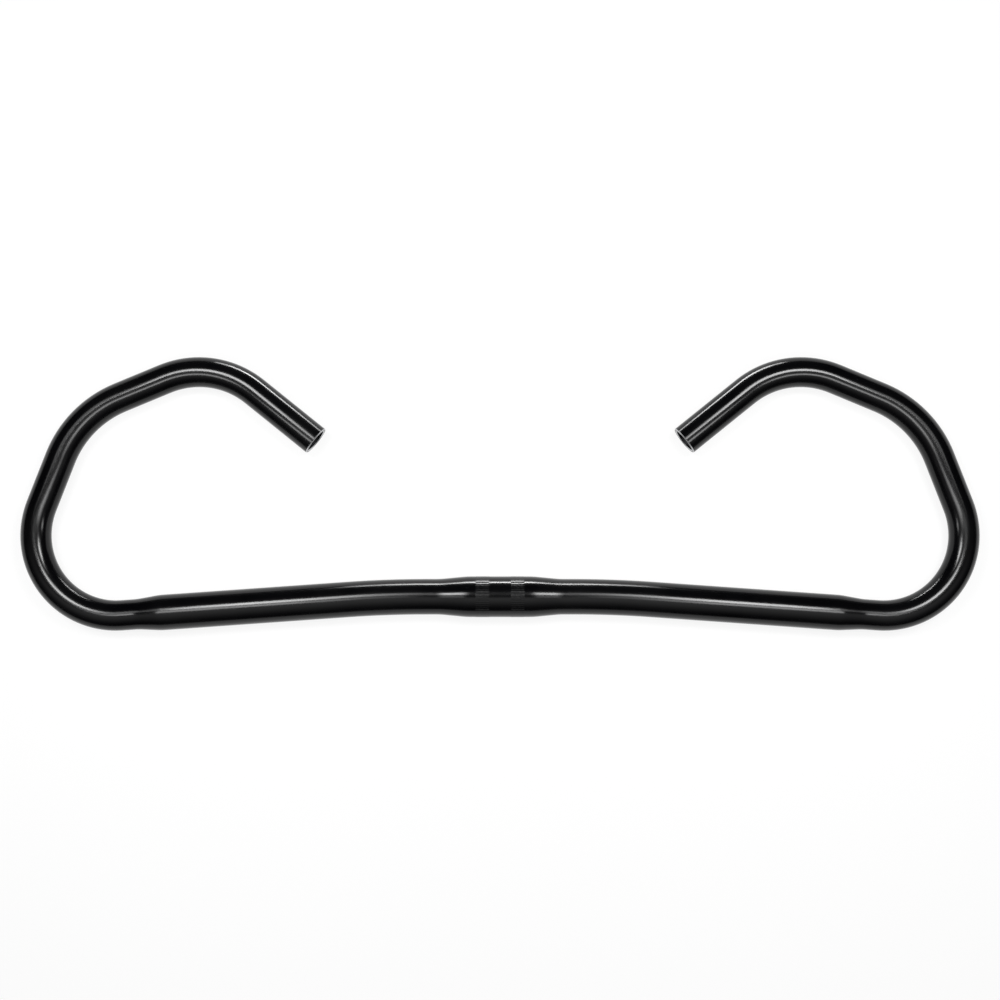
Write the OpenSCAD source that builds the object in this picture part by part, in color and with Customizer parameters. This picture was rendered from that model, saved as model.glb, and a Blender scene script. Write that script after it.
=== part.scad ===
// Multi-position bicycle handlebar: one aluminium tube, swaged to three diameters and bent
// in one plane. The origin is the middle of the stem clamp, X runs along the clamp, Y
// towards the loops and Z up. Each stretch starts where the one before it ends, so a
// changed length, angle or diameter carries through to everything further out.

/* [Stem clamp] */
// Diameter of the clamp barrel
clamp_d = 25.4; // [24.6:0.1:28]
// Length of the barrel at its full diameter
barrel_len = 36; // [34:0.5:70]
// Length of the cone between the barrel and the grip tube
flare_len = 22; // [12:0.5:60]

/* [Knurled bands] */
// Width of one knurled band
band_w = 8.4; // [3:0.1:9]
// Smooth gap between the two bands
band_gap = 13.4; // [4:0.1:14]
// Spacing of the ridges around the barrel
ridge_pitch = 1.3; // [1:0.05:2.5]
// How far the ridges stand above the barrel
ridge_rise = 0.08; // [0.02:0.01:0.3]
// How far the grooves are pressed into the barrel
groove_depth = 0.3; // [0.1:0.01:0.6]

/* [Grip tube] */
// Diameter of the grip tube, which levers and shifters clamp to
grip_d = 22.2; // [20.6:0.1:23.8]
// Length of plain tube between the flare and the sweep
lead_len = 6; // [1:0.5:40]
// Angle of the sweep, away from the loops
sweep_angle = 4; // [1:0.1:20]
// Radius of the sweep, at the tube's axis
sweep_r = 700; // [100:5:900]
// Length of straight grip tube outside the sweep
grip_len = 115; // [60:0.5:180]

/* [Loop tube] */
// Diameter of the loop tube
loop_d = 19; // [16:0.1:20]
// Length of the cone between the grip tube and the loop tube
swage_len = 19; // [8:0.5:40]
// Straight tube between the swage and the outer corner
neck_len = 7.7; // [1:0.1:30]
// Turn at the outer corner
corner_angle = 114.5; // [90:0.1:125]
// Radius of the outer corner, at the tube's axis
corner_r = 51; // [35:0.5:70]
// Length of the straight at the side of the loop
side_len = 31.9; // [1:0.1:60]
// Turn at the shoulder of the loop
shoulder_angle = 46.7; // [20:0.1:60]
// Radius of the shoulder, at the tube's axis
shoulder_r = 67; // [35:0.5:90]
// Length of the straight across the top of the loop
top_len = 30.4; // [1:0.1:60]
// Turn that brings the end back towards the rider
return_angle = 61.6; // [30:0.1:80]
// Radius of that turn, at the tube's axis
return_r = 56; // [35:0.5:80]
// Length of the straight open end
end_len = 50; // [30:0.5:80]

/* [Tube wall] */
// Wall thickness, the same all along
wall = 2; // [1.2:0.1:3]
// Diameter that the tube loses in a bend
bend_thinning = 0.02; // [0.01:0.01:0.2]
// Chamfer at each cut end, inside and outside
end_chamfer = 0.4; // [0.1:0.05:0.5]

/* [Hidden] */
clamp_r = clamp_d / 2;
grip_r = grip_d / 2;
loop_r = loop_d / 2;
ridges = round(PI * clamp_d / ridge_pitch);
// Share of a cone's length that is rounded off at each end of it
cone_blend = 0.25;
// How far past the mouth the bore is cut
mouth_overrun = 2;
// How far a bend laps into the tube at each end of it
bend_lap = 0.2;
// Starts the circle of a bend on the same side as that of the straights, so that their
// rims have their corners in line
seam_turn = -90;
round_fn = 72;
turn_fn = 180;

// Height of a cone's profile, from 0 to 1, with both its ends eased into the tube
function eased(u) =
    u < cone_blend ? u * u / (2 * cone_blend * (1 - cone_blend))
    : u > 1 - cone_blend ? 1 - eased(1 - u)
    : (u - cone_blend / 2) / (1 - cone_blend);

// Turns a profile of [radius, distance along] about X
module turned(profile) {
    rotate([0, 90, 0])
        rotate_extrude($fn = round_fn)
            polygon(profile);
}

// Straight tube along X; the next stretch starts at its end
module straight(len, r) {
    rotate([0, 90, 0])
        cylinder(h = len, r = r, $fn = round_fn);
    translate([len, 0, 0])
        children();
}

// Cone with eased ends, along X
module cone(len, r_from, r_to) {
    steps = [0, 0.08, 0.16, cone_blend, 1 - cone_blend, 0.84, 0.92, 1];
    rim = [for (u = steps) [r_from + (r_to - r_from) * eased(u), u * len]];
    turned(concat([[0, 0]], rim, [[0, len]]));
    translate([len, 0, 0])
        children();
}

// Bend in the XY plane that starts along X, to the left for a positive angle. The tube
// leaves the bender a trace thinner there, and the bend laps into both its neighbours.
module bend(angle, radius, r) {
    lap_angle = bend_lap / radius * 180 / PI;
    side = sign(angle);
    mirror([0, side < 0 ? 1 : 0, 0])
        translate([0, radius, 0])
            rotate([0, 0, -90 - lap_angle])
                rotate_extrude(angle = abs(angle) + 2 * lap_angle, $fn = turn_fn)
                    translate([radius, 0])
                        rotate(seam_turn)
                            circle(r = r - bend_thinning / 2, $fn = round_fn);
    translate([0, side * radius, 0])
        rotate([0, 0, angle])
            translate([0, -side * radius, 0])
                children();
}

// Band of straight ridges pressed around the barrel, which bite in the stem's clamp
module knurled_band() {
    crest = clamp_r + ridge_rise;
    groove = clamp_r - groove_depth;
    tips = [for (i = [0 : 2 * ridges - 1]) [i % 2 == 0 ? crest : groove, i * 180 / ridges]];
    rotate([0, 90, 0])
        linear_extrude(height = band_w)
            polygon([for (t = tips) [t[0] * cos(t[1]), t[0] * sin(t[1])]]);
    translate([band_w, 0, 0])
        children();
}

// Half of the clamp barrel: smooth middle, knurled band and smooth shoulder
module half_barrel() {
    straight(band_gap / 2, clamp_r)
    knurled_band()
    straight((barrel_len - band_gap) / 2 - band_w, clamp_r)
        children();
}

// One arm, from the barrel to the last bend, with every radius reduced by inset
module arm(inset) {
    cone(flare_len, clamp_r - inset, grip_r - inset)
    straight(lead_len, grip_r - inset)
    bend(-sweep_angle, sweep_r, grip_r - inset)
    straight(grip_len, grip_r - inset)
    cone(swage_len, grip_r - inset, loop_r - inset)
    straight(neck_len, loop_r - inset)
    bend(corner_angle, corner_r, loop_r - inset)
    straight(side_len, loop_r - inset)
    bend(shoulder_angle, shoulder_r, loop_r - inset)
    straight(top_len, loop_r - inset)
    bend(return_angle, return_r, loop_r - inset)
        children();
}

// Open end of the tube, with its outer edge chamfered
module end_tube() {
    turned([
        [0, 0], [loop_r, 0],
        [loop_r, end_len - end_chamfer], [loop_r - end_chamfer, end_len],
        [0, end_len]
    ]);
}

// Bore of the open end, with its inner edge chamfered, cut on past the mouth
module end_bore() {
    bore_r = loop_r - wall;
    flared_r = bore_r + end_chamfer + mouth_overrun;
    turned([
        [0, 0], [bore_r, 0],
        [bore_r, end_len - end_chamfer], [flared_r, end_len + mouth_overrun],
        [0, end_len + mouth_overrun]
    ]);
}

module both_sides() {
    for (flip = [0, 1])
        mirror([flip, 0, 0])
            children();
}

module handlebar() {
    color([0.03, 0.03, 0.035])
        difference() {
            both_sides()
                half_barrel() arm(0) end_tube();
            both_sides()
                straight(barrel_len / 2, clamp_r - wall) arm(wall) end_bore();
        }
}

handlebar();
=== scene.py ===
# %% [markdown]
# A bicycle handlebar with two open loops, painted gloss black.
# The real one is a single aluminium tube. Its middle is left thick for the stem, the rest is
# swaged thinner in two steps, and a bender then turns it flat, in one plane, into the loops.
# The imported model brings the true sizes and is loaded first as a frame. Its tube is made of
# flat facets though, and a gloss finish shows every one, so the visible tube is drawn again
# here, on the same path and to the same sizes, with rings close enough to look round.

# %% Load the frame
from math import cos, pi, radians, sin

import bmesh
import bpy
from mathutils import Matrix, Vector


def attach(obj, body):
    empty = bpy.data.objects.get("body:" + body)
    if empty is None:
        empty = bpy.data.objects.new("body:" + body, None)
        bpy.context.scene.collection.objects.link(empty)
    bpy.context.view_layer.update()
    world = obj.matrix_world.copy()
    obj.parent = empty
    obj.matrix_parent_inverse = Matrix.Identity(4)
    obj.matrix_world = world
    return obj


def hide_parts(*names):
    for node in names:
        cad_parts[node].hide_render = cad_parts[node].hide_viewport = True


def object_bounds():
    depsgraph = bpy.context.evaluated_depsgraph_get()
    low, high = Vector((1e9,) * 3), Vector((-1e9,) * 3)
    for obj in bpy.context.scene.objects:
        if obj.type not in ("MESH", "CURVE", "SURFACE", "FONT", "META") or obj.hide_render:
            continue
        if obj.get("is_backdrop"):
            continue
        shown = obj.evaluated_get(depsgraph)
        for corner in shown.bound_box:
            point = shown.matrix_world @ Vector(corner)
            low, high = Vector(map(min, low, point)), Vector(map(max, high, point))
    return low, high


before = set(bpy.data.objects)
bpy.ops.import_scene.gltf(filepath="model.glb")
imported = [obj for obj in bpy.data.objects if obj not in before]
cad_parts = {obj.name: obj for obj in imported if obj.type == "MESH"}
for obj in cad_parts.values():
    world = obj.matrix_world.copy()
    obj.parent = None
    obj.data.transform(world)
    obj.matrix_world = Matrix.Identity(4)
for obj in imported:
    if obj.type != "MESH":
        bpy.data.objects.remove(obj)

MM = 0.001
cad_low, cad_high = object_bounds()
print("CAD box in mm:", [round(v / MM, 2) for v in (*cad_low, *cad_high)])

# %% [markdown]
# A tube that is bent from one length is best made as it is in the workshop: a ring is drawn
# out straight, then turned about the bender's die, and so on to the end. bmesh has an
# operator for each. extrude_edge_only draws the ring out, scale swages it to another
# diameter, and spin turns it about a pivot. A curve with a bevel would be quicker to set up,
# but it gives one diameter, and its rings don't start and stop where the bends do.
# Only the right-hand half is drawn, from the middle of the clamp outwards.

# %% The tube's starting ring
CLAMP_R, GRIP_R, LOOP_R, WALL = 12.7 * MM, 11.1 * MM, 9.49 * MM, 2 * MM
RIDGES = 61
AROUND = 2 * RIDGES

bar = bmesh.new()
stand_up = Matrix(((0, 0, 1, 0), (-1, 0, 0, 0), (0, -1, 0, 0), (0, 0, 0, 1)))
bmesh.ops.create_circle(bar, cap_ends=False, segments=AROUND, radius=CLAMP_R, matrix=stand_up)

tube = {"ring": list(bar.edges), "at": Vector((0, 0, 0)), "heading": 0.0, "radius": CLAMP_R}
print("starting ring:", len(tube["ring"]), "edges")

# %% [markdown]
# Drawing out is one extrusion of the ring that the tube ends in, moved along the tube's
# heading. The tube remembers its last ring, its end point, its heading and its radius, so
# each stretch starts where the one before it ended. A plain stretch is drawn in short steps,
# which keeps the shading of a bend from running on along the straight beside it.

# %% Draw the tube out straight
def draw_out(length, radius=None):
    """Extrudes the tube's last ring along its heading, to another radius if one is given."""
    grown = bmesh.ops.extrude_edge_only(bar, edges=tube["ring"])["geom"]
    rim = [g for g in grown if isinstance(g, bmesh.types.BMVert)]
    ahead = Vector((cos(tube["heading"]), sin(tube["heading"]), 0))
    bmesh.ops.translate(bar, verts=rim, vec=ahead * length)
    tube["at"] = tube["at"] + ahead * length
    tube["ring"] = [g for g in grown if isinstance(g, bmesh.types.BMEdge)
                    and all(v in rim for v in g.verts)]
    if radius and radius != tube["radius"]:
        share = radius / tube["radius"]
        bmesh.ops.scale(bar, verts=rim, vec=(share, share, share),
                        space=Matrix.Translation(-tube["at"]))
        tube["radius"] = radius
    return rim


def straight(length, step=9 * MM):
    """Plain tube, in steps of about the given length."""
    count = max(1, round(length / step))
    for _ in range(count):
        draw_out(length / count)


# %% [markdown]
# Swaging presses the tube into a tapered die. It leaves a cone that runs into the tube at
# both ends without an edge. Fourteen rings follow that curve, each drawn out and scaled.

# %% Swage it to another diameter
def eased(u, blend=0.25):
    """Height of a cone's profile from 0 to 1, with both ends rounded into the tube."""
    if u > 0.5:
        return 1 - eased(1 - u, blend)
    if u < blend:
        return u * u / (2 * blend * (1 - blend))
    return (u - blend / 2) / (1 - blend)


def swage(length, radius, steps=14):
    """A cone from the tube's present radius to another one."""
    start = tube["radius"]
    for i in range(steps):
        draw_out(length / steps, start + (radius - start) * eased((i + 1) / steps))


# %% [markdown]
# A bender holds the tube against a round die and turns both together. spin does the same: it
# takes the last ring about a pivot at the tube's side, in even steps. Three degrees a step
# keep the edge of a loop round. The slight sweep has a very large die, and so a degree of it
# is long and needs finer steps.

# %% Turn it on the bender
def bend(angle, die, step=3):
    """Spins the last ring about a pivot at its side; a positive angle turns it left."""
    side = 1 if angle > 0 else -1
    across = Vector((-sin(tube["heading"]), cos(tube["heading"]), 0))
    pivot = tube["at"] + across * side * die
    turned = bmesh.ops.spin(bar, geom=tube["ring"], cent=pivot, axis=(0, 0, 1),
                            dvec=(0, 0, 0), angle=radians(angle),
                            steps=max(2, round(abs(angle) / step)), use_merge=False)
    tube["ring"] = [g for g in turned["geom_last"] if isinstance(g, bmesh.types.BMEdge)]
    tube["heading"] += radians(angle)
    across = Vector((-sin(tube["heading"]), cos(tube["heading"]), 0))
    tube["at"] = pivot - across * side * die


# %% [markdown]
# The clamp barrel carries two narrow knurled bands: 61 ridges each, rolled in along the
# tube, so that the stem's jaws can't slip round. The starting ring has two vertices for each
# ridge, so a ridge needs no vertices of its own. Every other one is raised to a crest, and
# those between are pressed in to a groove. Paint nearly fills the grooves, so they are
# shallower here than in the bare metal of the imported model.

# %% Clamp barrel with its two knurled bands
BAND_START, BAND_WIDTH, SHOULDER = 6.7 * MM, 8.4 * MM, 2.9 * MM
CREST, GROOVE, RUN_OUT = 0.03 * MM, 0.02 * MM, 0.25 * MM


def in_turn(rim):
    """The ring's vertices in order around the tube, from the lowest."""
    def turn(v):
        around = Vector((v.co.y, v.co.z))
        return round(Vector((0, -1)).angle_signed(around) / (2 * pi) * AROUND) % AROUND
    return sorted(rim, key=turn)


def knurl(rim, undo=False):
    """Raises and presses a ring's vertices by turns, starting with a crest at the bottom."""
    rim = in_turn(rim)
    for verts, radius in ((rim[0::2], CLAMP_R + CREST), (rim[1::2], CLAMP_R - GROOVE)):
        share = CLAMP_R / radius if undo else radius / CLAMP_R
        bmesh.ops.scale(bar, verts=verts, vec=(1, share, share))


straight(BAND_START)
knurl(draw_out(RUN_OUT))
straight(BAND_WIDTH - 2 * RUN_OUT, step=2 * MM)
knurl(draw_out(RUN_OUT), undo=True)
print("knurled band ends at", round(tube["at"].x / MM, 2), "mm from the middle")
straight(SHOULDER)

# %% [markdown]
# From the barrel the tube goes down to the 22.2 mm that brake levers clamp on, sweeps back a
# little, and runs straight for a hand's width. A second swage brings it to 19 mm, thin
# enough for the tight corners of the loop. The last stretch stays open, for an end plug.

# %% The arm, the loop and the open end
swage(22 * MM, GRIP_R)
straight(6 * MM)
bend(-4, 700 * MM, step=0.5)    # sweep, away from the loop
straight(115 * MM)              # grip
swage(19 * MM, LOOP_R)
straight(7.7 * MM)
bend(114.5, 51 * MM)            # outer corner
straight(31.9 * MM)             # side of the loop
bend(46.7, 67 * MM)             # shoulder
straight(30.4 * MM)             # top of the loop
bend(61.6, 56 * MM)             # back towards the rider
straight(50 * MM)               # open end
mouth = tube["at"].copy()
print("the right-hand end opens at", [round(v / MM, 2) for v in mouth])

# %% [markdown]
# The left half is the right one mirrored. Spin and mirror can leave faces inside out and
# rings doubled, so the halves are merged and the normals recalculated while the tube is
# still one open skin. Only then does solidify give it its 2 mm wall: on a closed shell the
# recalculation would turn the inside round.

# %% Both halves, one skin
bmesh.ops.mirror(bar, geom=bar.verts[:] + bar.edges[:] + bar.faces[:],
                 matrix=Matrix.Identity(4), merge_dist=0.001 * MM, axis="X")
bmesh.ops.remove_doubles(bar, verts=bar.verts[:], dist=0.001 * MM)
bmesh.ops.recalc_face_normals(bar, faces=bar.faces[:])
nearest = min(bar.faces, key=lambda f: f.calc_center_median().length)
if nearest.normal.dot(nearest.calc_center_median()) < 0:
    bmesh.ops.reverse_faces(bar, faces=bar.faces[:])
open_rims = [e for e in bar.edges if e.is_boundary]
print("open rims:", len(open_rims) / AROUND, "in", len(bar.faces), "faces")

# %% [markdown]
# The wall grows inwards from the skin, so the outside keeps its size. solidify leaves the old
# faces outside and adds the bore and the two lips. They are told apart by what they touch: a
# lip is a new face that shares an edge with the skin.

# %% The wall
skin = set(bar.faces)
bmesh.ops.solidify(bar, geom=bar.faces[:], thickness=WALL)
bore = set(bar.faces) - skin
lips = {f for f in bore if any(n in skin for e in f.edges for n in e.link_faces)}
bore -= lips
print("outer skin:", len(skin), "faces, bore:", len(bore), "faces, lips:", len(lips), "faces")

# %% [markdown]
# A saw leaves a sharp lip at each end, which is broken with a file before painting, and an
# end plug or a tape end rubs the paint off it again. So the lip is bevelled inside and
# outside, and the new narrow faces take the bare metal's material. An edge of 0.4 mm is less
# than a pixel wide, yet it is what catches the light as a thin bright ring. Ridges and lips
# are shaded flat, and their edges are marked sharp, so that the gloss beside them isn't bent.

# %% Chamfered lips, and which face takes which finish
CHAMFER = 0.4 * MM
ENAMEL, KNURL, LIP, BORE = range(4)
for f in skin:
    f.material_index = ENAMEL
    x = abs(f.calc_center_median().x)
    if BAND_START < x < BAND_START + BAND_WIDTH and abs(f.calc_center_median().y) < CLAMP_R:
        f.material_index = KNURL
for f in bore:
    f.material_index = BORE
for f in lips:
    f.material_index = ENAMEL
lip_edges = {e for f in lips for e in f.edges if any(n not in lips for n in e.link_faces)}
cut = bmesh.ops.bevel(bar, geom=list(lip_edges), offset=CHAMFER, offset_type="OFFSET",
                      segments=1, profile=0.5, affect="EDGES", material=-1)
for f in cut["faces"]:
    f.material_index = LIP
for f in bar.faces:
    f.smooth = f.material_index in (ENAMEL, BORE)
for e in bar.edges:
    e.smooth = all(f.smooth for f in e.link_faces)
print("bevelled", len(lip_edges), "edges into", len(cut["faces"]), "faces")

# %% [markdown]
# The finished mesh becomes one object that sits at the origin, with its place in its mesh.
# It rides on the frame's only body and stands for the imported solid, which is hidden.

# %% The handlebar as an object
mesh = bpy.data.meshes.new("handlebar_skin")
bar.to_mesh(mesh)
bar.free()
handlebar = bpy.data.objects.new("handlebar_skin", mesh)
bpy.context.scene.collection.objects.link(handlebar)
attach(handlebar, "root")
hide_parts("handlebar")
mesh.calc_loop_triangles()
print("triangles:", len(mesh.loop_triangles))

# %% [markdown]
# Every finish is a small node tree. Two helpers keep the trees readable: one turns a hex
# colour, as a paint chart gives it, into the linear values that a shader works with, and one
# adds a node of any kind with its settings and its links.

# %% Colour and node helpers
def hex_colour(code):
    """Linear RGBA of an sRGB hex colour."""
    parts = [int(code[i:i + 2], 16) / 255 for i in (1, 3, 5)]
    return (*[c / 12.92 if c <= 0.04045 else ((c + 0.055) / 1.055) ** 2.4 for c in parts], 1)


def add(tree, kind, settings=None, **inputs):
    """Adds a node. A value is set on its socket, and an output socket is linked to it."""
    node = tree.nodes.new("ShaderNode" + kind)
    for name, value in (settings or {}).items():
        setattr(node, name, value)
    for name, value in inputs.items():
        socket = node.inputs[int(name[1:])] if name[0] == "_" else node.inputs[
            name.replace("_", " ")]
        if isinstance(value, bpy.types.NodeSocket):
            tree.links.new(value, socket)
        else:
            socket.default_value = value
    return node


def finish(name):
    """An empty material, its tree, and the object's own coordinates to lay patterns on."""
    material = bpy.data.materials.new(name)
    material.use_nodes = True
    material.node_tree.nodes.clear()
    place = material.node_tree.nodes.new("ShaderNodeTexCoord").outputs["Object"]
    return material, material.node_tree, place


def show(tree, shader):
    add(tree, "OutputMaterial", Surface=shader.outputs[0])


# %% [markdown]
# The tube's paint is a gloss black stoving enamel, sprayed on and baked. It flows out nearly
# flat, but it keeps a faint orange peel with waves of a few millimetres, which softens the
# edges of a reflection, and handling leaves patches a little duller than the rest. The colour
# is close to black, so almost all that the eye sees of it is reflected light.

# %% Gloss black enamel
enamel, tree, place = finish("gloss_black_enamel")
clouds = add(tree, "TexNoise", Vector=place, Scale=35.0, Detail=3.0)      # patches of 30 mm
tone = add(tree, "MapRange", Value=clouds.outputs["Fac"], From_Min=0.3, From_Max=0.7)
black = add(tree, "Mix", {"data_type": "RGBA"}, _0=tone.outputs[0],
            _6=hex_colour("#020203"), _7=hex_colour("#060607"))
dull = add(tree, "MapRange", Value=clouds.outputs["Fac"], From_Min=0.3, From_Max=0.7,
           To_Min=0.14, To_Max=0.18)
peel = add(tree, "TexNoise", Vector=place, Scale=330.0, Detail=2.0)       # waves of 3 mm
ripple = add(tree, "Bump", Strength=0.06, Distance=0.02 * MM, Height=peel.outputs["Fac"])
show(tree, add(tree, "BsdfPrincipled", Base_Color=black.outputs[2],
               Roughness=dull.outputs[0], IOR=1.5, Specular_IOR_Level=0.3,
               Normal=ripple.outputs[0]))

# %% [markdown]
# On the knurl the same paint lies thin over the crests and thick in the grooves. The rolled
# ridges scatter the light, so the bands look duller than the smooth barrel beside them. Fine
# specks stand for the torn tops of the ridges, drawn at half a millimetre, because their
# real grain is too fine to show.

# %% Enamel over the rolled knurl
knurled, tree, place = finish("enamel_over_knurl")
specks = add(tree, "TexNoise", Vector=place, Scale=2000.0, Detail=2.0)
tone = add(tree, "MapRange", Value=specks.outputs["Fac"], From_Min=0.4, From_Max=0.7)
worn = add(tree, "Mix", {"data_type": "RGBA"}, _0=tone.outputs[0],
           _6=hex_colour("#030304"), _7=hex_colour("#0A0A0B"))
rough = add(tree, "MapRange", Value=specks.outputs["Fac"], From_Min=0.3, From_Max=0.7,
            To_Min=0.18, To_Max=0.28)
grain = add(tree, "Bump", Strength=0.3, Distance=0.02 * MM, Height=specks.outputs["Fac"])
show(tree, add(tree, "BsdfPrincipled", Base_Color=worn.outputs[2],
               Roughness=rough.outputs[0], IOR=1.5, Specular_IOR_Level=0.3,
               Normal=grain.outputs[0]))

# %% [markdown]
# The lip is aluminium as the saw and file left it: bright, with fine cutting marks that run
# across the wall. On a real tube they would be about 0.1 mm apart. They are drawn three times
# as coarse here, because they would otherwise vanish between two pixels.

# %% Bare filed aluminium
filed, tree, place = finish("filed_aluminium")
marks = add(tree, "TexNoise", Vector=place, Scale=3300.0, Detail=2.0)
tone = add(tree, "MapRange", Value=marks.outputs["Fac"], From_Min=0.3, From_Max=0.7)
metal = add(tree, "Mix", {"data_type": "RGBA"}, _0=tone.outputs[0],
            _6=hex_colour("#A9ABAD"), _7=hex_colour("#D5D6D8"))
rough = add(tree, "MapRange", Value=marks.outputs["Fac"], From_Min=0.3, From_Max=0.7,
            To_Min=0.28, To_Max=0.42)
show(tree, add(tree, "BsdfPrincipled", Base_Color=metal.outputs[2], Metallic=1.0,
               Roughness=rough.outputs[0]))

# %% [markdown]
# Inside, the tube keeps its grey drawn surface, dulled by oxide and by the paint dust that
# drifts in while the ends are sprayed. The dust shows as dark blotches of some millimetres.
# Both greys are also kept far darker than drawn aluminium, as painted shade for the inside of
# the tube.

# %% Drawn bore with paint dust
drawn, tree, place = finish("bore_dust_and_painted_shade")
dust = add(tree, "TexNoise", Vector=place, Scale=180.0, Detail=5.0)
tone = add(tree, "MapRange", Value=dust.outputs["Fac"], From_Min=0.35, From_Max=0.65)
# These greys are partly paint dust and oxide, and partly painted shade for the inside of the
# tube.
metal = add(tree, "Mix", {"data_type": "RGBA"}, _0=tone.outputs[0],
            _6=hex_colour("#111213"), _7=hex_colour("#3C3D3F"))
rough = add(tree, "MapRange", Value=dust.outputs["Fac"], From_Min=0.3, From_Max=0.7,
            To_Min=0.45, To_Max=0.65)
show(tree, add(tree, "BsdfPrincipled", Base_Color=metal.outputs[2], Metallic=0.8,
               Roughness=rough.outputs[0]))

# %% [markdown]
# The finishes go to the mesh in the order of the numbers that its faces were given above.

# %% Finishes on the tube
for material in (enamel, knurled, filed, drawn):
    mesh.materials.append(material)
print("finishes:", [m.name for m in mesh.materials])

# %% [markdown]
# The bar lies level on a plain pale floor, on the lowest crests of its knurl, as the frame
# places it. A real one would tilt by about a degree, until its loops touch down as well. The
# floor is one grid that reaches past the photograph's view on every side. To look white all
# over it mixes a white glow into what the eye sees of it, straight or in a mirror. About a
# seventh of its paper shows through, and with it the shadow of the bar.

# %% Floor
FLOOR_Z = cad_low.z - 0.02 * MM
FLOOR_HALF, FLOOR_GLOW = 40.0, 0.85
ground = bmesh.new()
bmesh.ops.create_grid(ground, x_segments=8, y_segments=8, size=FLOOR_HALF,
                      matrix=Matrix.Translation((0, 0, FLOOR_Z)))
floor_mesh = bpy.data.meshes.new("floor")
ground.to_mesh(floor_mesh)
ground.free()
floor = bpy.data.objects.new("floor", floor_mesh)
bpy.context.scene.collection.objects.link(floor)
floor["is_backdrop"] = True

paper, tree, place = finish("white_paper")
fibre = add(tree, "TexNoise", Vector=place, Scale=3.0, Detail=2.0)
white = add(tree, "Mix", {"data_type": "RGBA"}, _0=fibre.outputs["Fac"],
            _6=hex_colour("#F0F0F0"), _7=hex_colour("#F4F4F4"))
sheet = add(tree, "BsdfPrincipled", Base_Color=white.outputs[2], Roughness=0.9)
seen = tree.nodes.new("ShaderNodeLightPath").outputs
direct = add(tree, "Math", {"operation": "MAXIMUM"}, _0=seen["Is Camera Ray"],
             _1=seen["Is Glossy Ray"])
direct = add(tree, "Math", {"operation": "MAXIMUM"}, _0=direct.outputs[0],
             _1=seen["Is Transmission Ray"])
share = add(tree, "Math", {"operation": "MULTIPLY"}, _0=direct.outputs[0],
            _1=FLOOR_GLOW)
glow = add(tree, "Emission", Color=(1, 1, 1, 1), Strength=1.0)
show(tree, add(tree, "MixShader", _0=share.outputs[0], _1=sheet.outputs[0],
               _2=glow.outputs[0]))
floor_mesh.materials.append(paper)
print("floor at", round(FLOOR_Z / MM, 2), "mm")

# %% [markdown]
# Black gloss is lit by what it mirrors, so the lamps are placed by the lines that they draw
# on the tube. A pair of long soft boxes hangs left and right at the camera's height. Each is
# made of short pieces that grow brighter outwards over two thirds of its length, so the line
# along the tube fades softly towards the clamp, and a faint piece carries it on outside. A
# pair of narrow boxes close above the bar draws the line on the inner side of the loops. They
# hang in the camera's way, so they are hidden from the camera, but not from the gloss. A low
# strip behind the bar draws the thin second line near the clamp's upper edge. Each lamp is
# given its radiance and not its power, because radiance is what a mirror shows, whatever the
# size of the lamp.

# %% Soft boxes
def soft_box(name, place, turn, width, depth, radiance):
    """A rectangular lamp of the given radiance. Unturned, it faces straight down."""
    data = bpy.data.lights.new(name, "AREA")
    data.shape, data.size, data.size_y = "RECTANGLE", width, depth
    data.energy = radiance * pi * width * depth
    lamp = bpy.data.objects.new(name, data)
    lamp.location, lamp.rotation_euler = place, turn
    bpy.context.scene.collection.objects.link(lamp)
    return lamp


# Metres. Each named part of a box: near and far end, measured from the middle, and radiance.
INNER, FULL, OUTER, STEPS = 0.07, 0.31, 0.43, 9
HIGH_Y, HIGH_Z, HIGH_DEPTH, HIGH_RADIANCE = 0.30, 1.0, 0.24, 30.0
HIGH_FAINT = ("outer", 0.43, 0.74, 3.2)
LOW_Y, LOW_Z, LOW_DEPTH = 0.0, 0.32, 0.06
LOW_PARTS = (("faint", 0.075, 0.12, 2.5), ("soft", 0.12, 0.16, 5.5), ("hot", 0.16, 0.325, 9.5))
STRIP_Y, STRIP_Z, STRIP_DEPTH = 0.55, 0.02, 0.06
STRIP_PARTS = (("dim", 0.06, 0.12, 32.0), ("end", 0.12, 0.18, 17.0))
DOWN, TO_THE_BAR = (0, 0, 0), (radians(-90), 0, 0)

step = (OUTER - INNER) / STEPS
steps = [(str(i), INNER + i * step, INNER + (i + 1) * step) for i in range(STEPS)]
HIGH_PARTS = [(part, near, far, HIGH_RADIANCE * min(
    1.0, ((near + far) / 2 - INNER) / (FULL - INNER)) ** 1.3) for part, near, far in steps]
for side, name in ((-1, "left"), (1, "right")):
    for part, near, far, radiance in (*HIGH_PARTS, HIGH_FAINT):
        soft_box(f"high_{name}_{part}", (side * (near + far) / 2, HIGH_Y, HIGH_Z), DOWN,
                 far - near, HIGH_DEPTH, radiance)
    for part, near, far, radiance in LOW_PARTS:
        low = soft_box(f"low_{name}_{part}", (side * (near + far) / 2, LOW_Y, LOW_Z), DOWN,
                       far - near, LOW_DEPTH, radiance)
        low.visible_camera = False
    for part, near, far, radiance in STRIP_PARTS:
        soft_box(f"strip_{name}_{part}", (side * (near + far) / 2, STRIP_Y, STRIP_Z),
                 TO_THE_BAR, far - near, STRIP_DEPTH, radiance)
soft_box("strip_middle", (0, STRIP_Y, STRIP_Z), TO_THE_BAR, 0.12, STRIP_DEPTH, 42.0)

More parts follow.
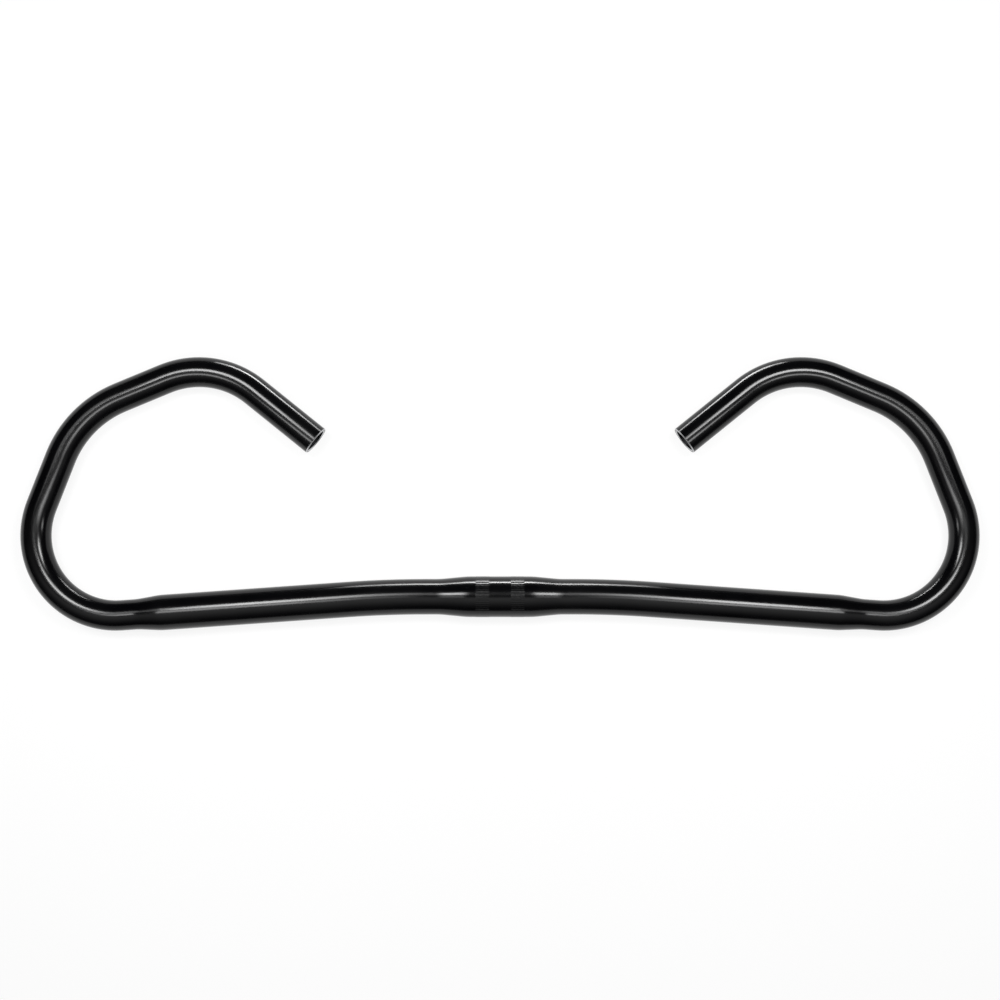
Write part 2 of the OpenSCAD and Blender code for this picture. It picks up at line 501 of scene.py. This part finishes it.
# %% [markdown]
# The studio around the lamps is dark, apart from the ceiling on the rider's side, which
# fades from overhead down to the horizon and gives the lower half of the tube its soft grey.
# A pale band low down stands for the far end of the room. Generated coordinates are, in a
# world, the direction of a ray: Z tells how high it goes, and Y to which side.

# %% World
world = bpy.data.worlds.new("dark_studio")
bpy.context.scene.world = world
world.use_nodes = True
tree = world.node_tree
tree.nodes.clear()
ray = tree.nodes.new("ShaderNodeTexCoord").outputs["Generated"]
way = add(tree, "SeparateXYZ", Vector=ray).outputs
overhead = add(tree, "Math", {"operation": "POWER"}, _0=way["Z"], _1=3.5)
rider = add(tree, "MapRange", Value=way["Y"], From_Min=0.02, From_Max=-0.2)
ceiling = add(tree, "Math", {"operation": "MULTIPLY"}, _0=overhead.outputs[0],
              _1=rider.outputs[0])
band = add(tree, "MapRange", Value=way["Z"], From_Min=0.0, From_Max=0.08,
           To_Min=0.5, To_Max=0.02)
glow = add(tree, "Math", {"operation": "ADD"}, _0=ceiling.outputs[0], _1=band.outputs[0])
tree.links.new(add(tree, "Background", Color=(1, 1, 1, 1), Strength=glow.outputs[0]).outputs[0],
               add(tree, "OutputWorld").inputs["Surface"])

# %% [markdown]
# The camera looks almost straight down, four degrees off the vertical and a metre away. Its
# lens is worked out from the photograph's scale of 0.6276 mm a pixel.

# %% Camera
DISTANCE, TILT, FRAME_WIDTH = 1.0, radians(4), 0.6276
TARGET = Vector((0, 0.0606, 0))
camera_data = bpy.data.cameras.new("camera")
camera_data.sensor_width = 36.0
camera_data.lens = 36.0 * DISTANCE / FRAME_WIDTH
camera = bpy.data.objects.new("camera", camera_data)
camera.location = TARGET + DISTANCE * Vector((0, -sin(TILT), cos(TILT)))
camera.rotation_euler = (TILT, 0, 0)
bpy.context.scene.collection.objects.link(camera)
bpy.context.scene.camera = camera
bpy.context.scene.view_settings.view_transform = "Standard"
print("camera", [round(v, 4) for v in camera.location], "lens", round(camera_data.lens, 2))

# %% [markdown]
# Last, the new model's box is printed in millimetres, like the imported one's at the start.

# %% Sizes
low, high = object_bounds()
print("visual box in mm:", [round(v / MM, 2) for v in (*low, *high)])
